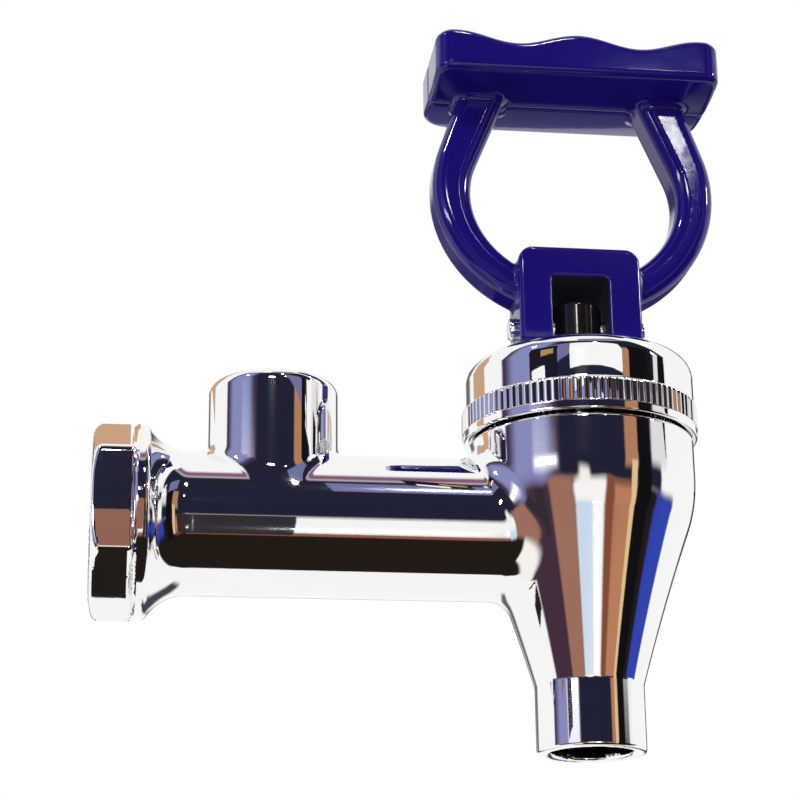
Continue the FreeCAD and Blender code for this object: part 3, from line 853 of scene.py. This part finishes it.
# %% [markdown]
# ## Finishes
#
# Chrome is a mirror that gives back nine tenths of the light. Two things keep it from looking like a
# computer's mirror: the casting under it was polished by hand, so its surface swims a little, and the
# plating holds fine hairlines and a trace of haze.

# %% Chrome on the casting
def polished_chrome(swim, haze):
    """Chrome whose surface swims by a tenth of a millimetre times swim, under a roughness of haze."""
    def describe(r, where):
        slow = r.noise(where, 95.0, 2.0)
        fine = r.noise(where, 900.0, 3.0)
        hairs = r.noise(r.stretched(where, (300.0, 300.0, 4200.0)), 1.0, 2.0)
        colour = r.mixed(r.noise(where, 60.0), (0.88, 0.88, 0.88, 1), (0.94, 0.935, 0.93, 1))
        height = slow * swim + fine * 0.02 + hairs * 0.004
        return {"Base Color": colour, "Metallic": 1.0, "Roughness": haze + fine * 0.02,
                "Normal": r.bump(height, 0.1)}
    return describe


# %% [markdown]
# The other materials share one pattern: a colour that drifts between two values, and a roughness and a
# bump from the same noise, so that a rougher spot also catches the light like one.

# %% Plastic, rubber and the other metals
def blue_moulding(r, where):
    """Indigo plastic: a slight drift of the dye under the gloss; inside the slot, painted shade turns it
    near black, and it is rough there.
    """
    drift = r.noise(where, 70.0, 3.0)
    grain = r.noise(where, 1400.0, 2.0)
    x, y, z = (r.node("ShaderNodeSeparateXYZ", None, {0: where}, k) for k in range(3))
    off_axis = (x / METRES - AXIS_X) ** 2.0
    # Mask of the slot's inside, where shade is painted on and the roughness is raised.
    slot_mask_for_painted_shade = ((off_axis < (SLOT_HALF + 0.12) ** 2) * (z / METRES < SLOT_FRONT_Z + 0.2)
               * (y / METRES > 0.35 - FORK_HALF[1]))
    dye = r.mixed(drift, (0.009, 0.005, 0.165, 1), (0.014, 0.008, 0.215, 1))
    # Painted shade: inside the slot the indigo gives way to near black.
    colour = r.mixed(slot_mask_for_painted_shade, dye, (0.002, 0.001, 0.012, 1))
    return {"Base Color": colour, "Roughness": 0.05 + grain * 0.05 + slot_mask_for_painted_shade * 0.7, "IOR": 1.45,
            "Normal": r.bump(r.noise(where, 160.0, 2.0) + grain * 0.03, 0.03)}


def black_moulding(r, where):
    """Black plastic with faint turning lines."""
    lines = r.noise(r.stretched(where, (150.0, 150.0, 3000.0)), 1.0, 2.0)
    colour = r.mixed(lines, (0.004, 0.004, 0.005, 1), (0.010, 0.010, 0.011, 1))
    return {"Base Color": colour, "Roughness": 0.08 + lines * 0.05, "Normal": r.bump(lines, 0.004)}


def nylon(r, where):
    """Milky nylon, slightly mottled."""
    mottle = r.noise(where, 300.0, 4.0)
    colour = r.mixed(mottle, (0.70, 0.69, 0.64, 1), (0.80, 0.79, 0.75, 1))
    return {"Base Color": colour, "Roughness": 0.38 + mottle * 0.15, "Normal": r.bump(mottle, 0.02)}


def silicone(r, where):
    """Cloudy silicone rubber."""
    cloud = r.noise(where, 220.0, 3.0)
    colour = r.mixed(cloud, (0.66, 0.63, 0.57, 1), (0.76, 0.74, 0.69, 1))
    return {"Base Color": colour, "Roughness": 0.45 + cloud * 0.2, "Normal": r.bump(cloud, 0.04)}


def turned_metal(first, second, lines_scale, rough):
    """Metal with the fine rings that a lathe tool leaves."""
    def describe(r, where):
        lines = r.noise(r.stretched(where, (120.0, 120.0, lines_scale)), 1.0, 3.0)
        colour = r.mixed(lines, first, second)
        return {"Base Color": colour, "Metallic": 1.0, "Roughness": rough + lines * 0.15,
                "Normal": r.bump(lines, 0.02)}
    return describe


body_chrome = new_material("body_chrome", polished_chrome(0.10, 0.025))
bonnet_chrome = new_material("bonnet_chrome", polished_chrome(0.04, 0.02))
pin_chrome = new_material("pin_chrome", polished_chrome(0.02, 0.08))
blue_plastic = new_material("blue_plastic", blue_moulding)
black_plastic = new_material("black_plastic", black_moulding)
bush_nylon = new_material("bush_nylon", nylon)
cup_silicone = new_material("cup_silicone", silicone)
ring_brass = new_material("ring_brass", turned_metal(
    (0.62, 0.42, 0.17, 1), (0.74, 0.55, 0.27, 1), 2500.0, 0.22))
thread_brass = new_material("thread_brass", turned_metal(
    (0.60, 0.42, 0.19, 1), (0.70, 0.52, 0.27, 1), 900.0, 0.25))
spring_steel = new_material("spring_steel", turned_metal(
    (0.50, 0.50, 0.51, 1), (0.62, 0.62, 0.63, 1), 4000.0, 0.2))


# %% [markdown]
# ## Dress and mount
#
# Each piece gets its material, the moving body that carries it and the solids it stands for; the table's
# last column names a finish for each, which the loop does not use. One table holds it all, so that no piece
# is forgotten. The cup is given no body: its flange is clamped in the body while its foot rises with the
# stem.

# %% Dress and mount the pieces
dressing = [
    (body, body_chrome, "root", ["valve_body"], "chromed_body"),
    (inlet_thread, thread_brass, "root", [], "chromed_body"),
    (gauge_thread, thread_brass, "root", [], "chromed_body"),
    (bonnet, bonnet_chrome, "root", ["bonnet"], "chromed_bonnet"),
    (bush, bush_nylon, "root", ["guide_bush"], "nylon"),
    (clamp, ring_brass, "root", ["clamp_ring"], "brass"),
    (cup, cup_silicone, None, ["seat_cup"], "silicone"),
    (washer, spring_steel, "lifter", ["spring_washer"], "steel"),
    (spring, spring_steel, "lifter", ["spring"], "steel"),
    (stem, black_plastic, "spindle", ["stem"], "black_plastic"),
    (handle, blue_plastic, "lever", ["handle"], "blue_plastic"),
    (pin, pin_chrome, "lever", ["handle_pin"], "chromed_pin"),
]
for piece, material, carrier, stands_for, slot in dressing:
    piece.data.materials.append(material)
    if carrier:
        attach(piece, carrier)
    if stands_for:
        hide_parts(*stands_for)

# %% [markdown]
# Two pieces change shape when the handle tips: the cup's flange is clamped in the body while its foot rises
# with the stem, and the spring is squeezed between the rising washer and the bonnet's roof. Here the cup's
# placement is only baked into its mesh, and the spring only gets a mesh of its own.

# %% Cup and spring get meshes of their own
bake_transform(cup)
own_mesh(spring)


# %% [markdown]
# ## Studio
#
# Chrome has no colour of its own: all that it shows is the room. The room is a world that is written as
# a map. Each patch has an azimuth, counted from straight in front towards the spout's side, an
# elevation, a softness at its rim and a colour. It is white behind and above the tap, dark in front where
# the photographer stood, and the dark holds a window, a bright table and warm and blue things beside it.
# Two soft dark strips behind give the chrome something to show from the back. A slow noise bends the
# patches' rims, because no real room has ruled edges. Camera rays see plain white.

# %% The room as a map
WHITE = (1.0, 1.0, 1.0, 1)
ROOM = [
    # azimuth from, to, elevation from, to, softness, colour
    (-92, 76, -3, 62, 4, (0.016, 0.017, 0.038, 1)),
    (-74, 94, -91, -1, 4, (0.017, 0.012, 0.009, 1)),
    (-10, 70, 63, 72, 3, (0.24, 0.11, 0.19, 1)),
    (-92, -33, -5, 64, 4, (0.055, 0.030, 0.065, 1)),
    (-84, -43, -5, 64, 14, (0.26, 0.28, 0.54, 1)),
    (-62, -36, 6, 15, 5, (1.0, 1.0, 1.15, 1)),
    (-84, -45, -29, -3, 4, (0.06, 0.030, 0.05, 1)),
    (-46, -20, -28, -1, 4, (0.36, 0.17, 0.12, 1)),
    (-84, -33, -55, -28, 4, (1.0, 0.96, 0.91, 1)),
    (12, 42, -28, -1, 3, (0.24, 0.075, 0.045, 1)),
    (22, 41, -24, -5, 4, (0.52, 0.23, 0.12, 1)),
    (33, 52, 8, 32, 3, (0.46, 0.22, 0.12, 1)),
    (40, 46, -26, 12, 1.5, (0.80, 0.56, 0.30, 1)),
    (47, 63, -30, 32, 2, (0.006, 0.006, 0.008, 1)),
    (64, 84, 13, 26, 4, (0.80, 0.78, 0.80, 1)),
    (71, 93, -17, -2, 5, (0.035, 0.065, 0.46, 1)),
    (-19, 12, -28, -3, 4, (1.0, 0.99, 0.97, 1)),
    (-15, -4, -8, 5, 5, (1.0, 0.95, 0.88, 1)),
    (-19, 0, -29, -19, 5, (0.62, 0.76, 0.92, 1)),
    (145, 162, -50, 34, 8, (0.06, 0.06, 0.08, 1)),
    (-168, -152, -50, 34, 8, (0.16, 0.14, 0.15, 1)),
    (1, 12, -31, -27, 1, (0.30, 0.10, 0.07, 1)),
]


def make_room():
    world = bpy.data.worlds.new("studio")
    scene.world = world
    world.use_nodes = True
    r = Recipe(world.node_tree)
    direction = r.node("ShaderNodeTexCoord", None, None, "Generated")
    x, y, z = (r.node("ShaderNodeSeparateXYZ", None, {0: direction}, k) for k in range(3))
    sway = (r.noise(direction, 3.0, 0.0) - 0.5) * 6
    degree = 180 / math.pi
    azimuth = r.node("ShaderNodeMath", {"operation": "ARCTAN2"}, {0: x, 1: 0 - y}) * degree + sway
    elevation = r.node("ShaderNodeMath", {"operation": "ARCSINE"}, {0: z}) * degree + sway

    def above(value, start, soft):
        return r.node("ShaderNodeMapRange", {"interpolation_type": "SMOOTHSTEP"},
                      {"Value": value, "From Min": start - soft / 2, "From Max": start + soft / 2})

    room = WHITE
    for left, right, low, high, soft, colour in ROOM:
        inside = (above(azimuth, left, soft) * (1 - above(azimuth, right, soft))
                  * above(elevation, low, 2 * soft) * (1 - above(elevation, high, 2 * soft)))
        room = r.mixed(inside, room, colour)
    camera_ray = r.node("ShaderNodeLightPath", None, None, "Is Camera Ray")
    seen = r.mixed(camera_ray, room, WHITE)
    background = r.node("ShaderNodeBackground", None, {"Color": seen, "Strength": 1.0})
    r.node("ShaderNodeOutputWorld", None, {"Surface": background})


make_room()


# %% [markdown]
# A world lies infinitely far away, so every flat facet shows one single colour of it. What stands close to
# the tap shows only in the part that faces it. Photographers use cards for this, and so does this scene:
# thin boards that only reflections can see. Some stand at a slant, which keeps them clear of the tap along
# their whole length. A mirror ray's path back from the photo tells where each one has to stand.

# %% Cards
def make_card(name, low, high, slant, colour):
    """Board between two corners in millimetres, its right end slid by slant along y; glossy rays see it."""
    corners = np.array([[(low, high)[(k >> axis) & 1][axis] for axis in range(3)] for k in range(8)], float)
    corners[:, 1] += slant * (corners[:, 0] > low[0])
    quads = np.array([[0, 2, 3, 1], [4, 5, 7, 6], [0, 1, 5, 4], [2, 6, 7, 3], [0, 4, 6, 2], [1, 3, 7, 5]])
    card = make_piece(name, corners, quads)
    card.data.polygons.foreach_set("use_smooth", np.zeros(6, bool))
    card.data.materials.append(new_material(name, lambda r, where: {
        "Base Color": (0, 0, 0, 1), "Roughness": 1.0, "Specular IOR Level": 0.0,
        "Emission Color": colour, "Emission Strength": 1.0}))
    card.visible_camera = card.visible_diffuse = card.visible_shadow = card.visible_transmission = False


for card in [
        ("hexagon_dark", (-4, -14, -31), (5, 0.4, -30), 0, (0.016, 0.014, 0.010, 1)),
        ("hexagon_brown", (-4, -31, -12), (12, -30, 2.8), 0, (0.30, 0.14, 0.10, 1)),
        ("hexagon_warm", (-60, 60, 48), (6, 62, 110), 0, (0.62, 0.38, 0.24, 1)),
        ("dome_white", (64.3, -33, 26.6), (87.4, -32.5, 41.5), 0, WHITE),
        ("dome_left", (49, -23.5, 24.2), (60.6, -23, 36), -5, (0.014, 0.010, 0.022, 1)),
        ("dome_gold", (54.8, -25.2, 28.2), (59.6, -25.1, 31.8), -2.1, (0.46, 0.28, 0.09, 1)),
        ("dome_pale", (50.4, -23.4, 24), (56.2, -23.3, 26.6), -2.5, WHITE),
        ("dome_right", (88.1, -28.5, 24.2), (101, -28, 36), 5, (0.006, 0.006, 0.008, 1)),
        ("dome_edge", (112, -23.5, 30), (160, -23, 48), 0, (0.006, 0.006, 0.008, 1)),
        ("pipe_dark", (14.8, -40.5, -22), (31.4, -40, -2.5), 0, (0.035, 0.028, 0.035, 1)),
        ("pipe_lavender", (39, -45.5, 34), (68, -45, 58), 0, (0.17, 0.18, 0.36, 1)),
        ("bar_dark", (40, 28, 15), (115, 95, 15.5), 0, (0.010, 0.008, 0.020, 1)),
        ("bar_grey", (20, 95, 15), (140, 420, 15.5), 0, (0.25, 0.24, 0.30, 1)),
]:
    make_card(*card)


# %% [markdown]
# ## Lamps
#
# The room lights the tap evenly, so the plastic would look dull. A small bright lamp shows as a crisp
# highlight wherever a rounded edge turns it towards the camera. Each lamp is given by its direction from
# the handle's pin and by how bright it looks. Its power follows from that and its area, so a lamp can
# change its size without changing how bright its highlight is.

# %% Lamps
def soft_lamp(name, azimuth, elevation, reach, size, brightness, colour):
    """Area lamp that faces the tap; brightness is roughly how many times brighter than white it looks."""
    data = bpy.data.lights.new(name, "AREA")
    data.shape = "RECTANGLE"
    data.size, data.size_y = size
    data.energy = brightness * math.pi * size[0] * size[1]
    data.color = colour
    lamp = bpy.data.objects.new(name, data)
    scene.collection.objects.link(lamp)
    turn, rise = math.radians(azimuth), math.radians(elevation)
    away = Vector((math.sin(turn) * math.cos(rise), -math.cos(turn) * math.cos(rise), math.sin(rise)))
    lamp.location = Vector((AXIS_X * METRES, 0, PIN_Z * METRES)) + reach * away
    lamp.rotation_mode = "QUATERNION"
    lamp.rotation_quaternion = (-away).to_track_quat("-Z", "Y")


for lamp in [
        # name, azimuth, elevation, reach and size in metres, brightness, colour
        ("top_lamp", 10, 46, 0.8, (0.05, 0.05), 120.0, (1.0, 1.0, 1.0)),
        ("window", -47, 9, 0.7, (0.24, 0.06), 16.0, (0.97, 0.97, 1.0)),
        ("side_lamp", 68, 24, 0.7, (0.04, 0.08), 110.0, (1.0, 0.95, 0.97)),
        ("upper_left_lamp", -62, 44, 0.8, (0.05, 0.05), 130.0, (1.0, 0.92, 0.96)),
        ("upper_right_lamp", 85, 50, 0.8, (0.05, 0.05), 130.0, (1.0, 0.88, 0.95)),
        ("low_lamp", 3, -24, 0.6, (0.06, 0.02), 110.0, (1.0, 1.0, 1.0)),
        ("arm_lamp", 15.2, 26.3, 1.5, (0.042, 0.050), 36.0, (0.96, 0.96, 1.0)),
        ("stem_lamp", -8.5, 21.9, 1.5, (0.26, 0.085), 32.0, (1.0, 1.0, 0.80)),
]:
    soft_lamp(*lamp)


# %% [markdown]
# ## Floor
#
# A pale table lies far below. It fills the shadow side with light and catches a weak shadow. Mirrors
# leave it out, because its rim would cut across the chrome; they show the room there instead.

# %% Floor
def make_floor():
    """Pale table under and behind the tap."""
    left, right, near, far, z = -4000.0, 4000.0, -30.0, 8000.0, -200.0
    points = np.array([[left, near, z], [right, near, z], [right, far, z], [left, far, z]])
    thick = points + np.array([0, 0, -10.0])
    quads = np.array([[0, 1, 2, 3], [7, 6, 5, 4], [0, 4, 5, 1], [1, 5, 6, 2], [2, 6, 7, 3], [3, 7, 4, 0]])
    floor = make_piece("table", np.concatenate([points, thick]), quads)
    floor.data.polygons.foreach_set("use_smooth", np.zeros(6, bool))

    def pale(r, where):
        """The camera sees white with the tap's weak shadow; light itself meets a pale board."""
        camera_ray = r.node("ShaderNodeLightPath", None, None, "Is Camera Ray")
        board = r.mixed(r.noise(where, 8.0), (0.90, 0.89, 0.87, 1), (0.94, 0.93, 0.92, 1))
        return {"Base Color": r.mixed(camera_ray, board, (0.16, 0.16, 0.16, 1)), "Roughness": 0.8,
                "Emission Color": r.mixed(camera_ray, (0, 0, 0, 1), (0.84, 0.83, 0.82, 1)),
                "Emission Strength": 1.0}

    floor.data.materials.append(new_material("pale_table", pale))
    floor.visible_glossy = False


make_floor()


# %% [markdown]
# ## Camera
#
# The photograph was taken from below and a little from the inlet's side. Camera, tilt and lens were
# found by fitting the tap's known edges; the picture is also turned by half a degree.

# %% Camera
def make_camera():
    lens_pixels, picture = 2205.0, 800.0
    place = Vector((0.0038, -0.3230, -0.0910))
    azimuth, elevation, roll = (math.radians(a) for a in (7.46, 18.94, 0.61))
    ahead = Vector((math.cos(elevation) * math.sin(azimuth), math.cos(elevation) * math.cos(azimuth),
                    math.sin(elevation)))
    right = ahead.cross(Vector((0, 0, 1))).normalized()
    up = right.cross(ahead)
    rolled_right = right * math.cos(roll) - up * math.sin(roll)
    rolled_up = right * math.sin(roll) + up * math.cos(roll)
    data = bpy.data.cameras.new("camera")
    data.sensor_width = 36.0
    data.lens = lens_pixels / picture * data.sensor_width
    data.clip_start = 0.01
    camera = bpy.data.objects.new("camera", data)
    scene.collection.objects.link(camera)
    turn = Matrix((rolled_right, rolled_up, -ahead)).transposed().to_4x4()
    camera.matrix_world = Matrix.Translation(place) @ turn
    scene.camera = camera


make_camera()
scene.view_settings.view_transform = "Standard"


# %% [markdown]
# ## Finish
#
# The last call brings the view layer up to date.

# %% Finish
bpy.context.view_layer.update()
